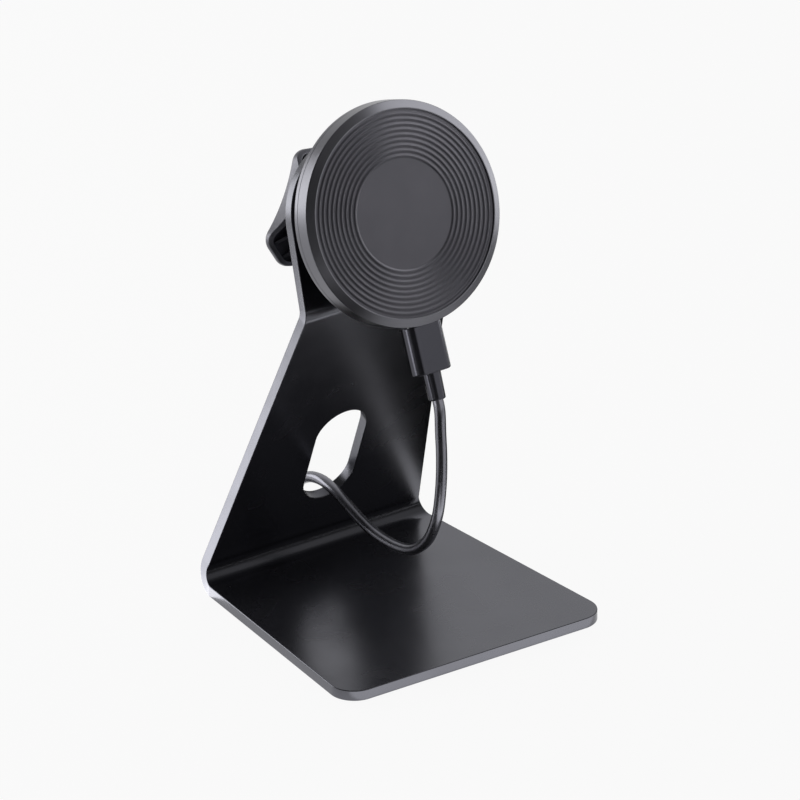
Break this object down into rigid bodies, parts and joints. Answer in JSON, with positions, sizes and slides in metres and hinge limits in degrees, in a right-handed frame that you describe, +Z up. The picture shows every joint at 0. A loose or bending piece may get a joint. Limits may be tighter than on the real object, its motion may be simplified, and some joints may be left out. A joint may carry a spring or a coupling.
{
  "type": "charging stand",
  "caption": "Desk charging stand: a folded sheet with a tilting round magnetic charging head, a lobed clamp knob and a plug-in cord.",
  "frame": {"origin": "centre of the underside of the base pad, on the desk", "axes": "+Z up, -Y towards the user, +X to the right of someone facing the stand's front"},
  "size_m": [0.0838, 0.1388, 0.1471],
  "materials": {
    "coated_sheet": "fine matt powder coat",
    "soft_pad": "matt",
    "plated_steel": "satin",
    "slide_plastic": "natural",
    "knob_plastic": "fine matt",
    "insert_brass": "turned",
    "hub_plastic": "fine matt",
    "housing_finish": "satin",
    "face_rubber": "soft matt",
    "coil_copper": "enamelled copper",
    "ferrite": "matt",
    "plated_magnet": "plated",
    "board_green": "solder resist",
    "chip_black": "matt",
    "capacitor_tan": "ceramic",
    "plug_steel": "satin",
    "cord_plastic": "fine matt",
    "cord_skin": "smooth matt",
    "tie_fabric": "woven"
  },
  "bodies": {
    "root": {"stand_sheet": "coated_sheet", "base_pad": "soft_pad", "clamp_collar": "plated_steel", "collar_washer": "plated_steel", "lock_nut": "plated_steel", "pressure_cup": "slide_plastic", "thrust_washer": "plated_steel", "cord_tube": "cord_skin", "cord_hank": "cord_skin", "cord_tail": "cord_skin", "cord_tie": "tie_fabric", "far_sleeve": "cord_plastic", "far_overmould": "cord_plastic", "far_plug_shell": "plug_steel"},
    "head": {"ball_stud": "plated_steel", "head_hub": "hub_plastic", "hub_screws": "plated_steel", "rear_housing": "housing_finish", "front_housing": "housing_finish", "face_pad": "face_rubber", "charging_coil": "coil_copper", "ferrite_sheet": "ferrite", "magnet_ring": "plated_magnet", "magnet_backing": "plated_steel", "circuit_board": "board_green", "control_chips": "chip_black", "board_capacitors": "capacitor_tan", "usb_socket": "plug_steel", "socket_tongue": "chip_black", "plug_shell": "plug_steel", "plug_overmould": "cord_plastic", "cord_sleeve": "cord_plastic"},
    "knob": {"clamp_knob": "knob_plastic", "knob_insert": "insert_brass"}
  },
  "joints": [
    {"name": "head_tilt", "type": "hinge", "parent": "root", "child": "head", "pos_m": [0, 0.02262, 0.10923], "axis": [1, 0, 0], "range_deg": [-15, 15], "deforming": ["cord_tube"]},
    {"name": "knob_turn", "type": "hinge", "parent": "root", "child": "knob", "pos_m": [0, 0.02078, 0.10999], "axis": [0, 0.9232, -0.3843], "range_deg": [0, 270]}
  ]
}
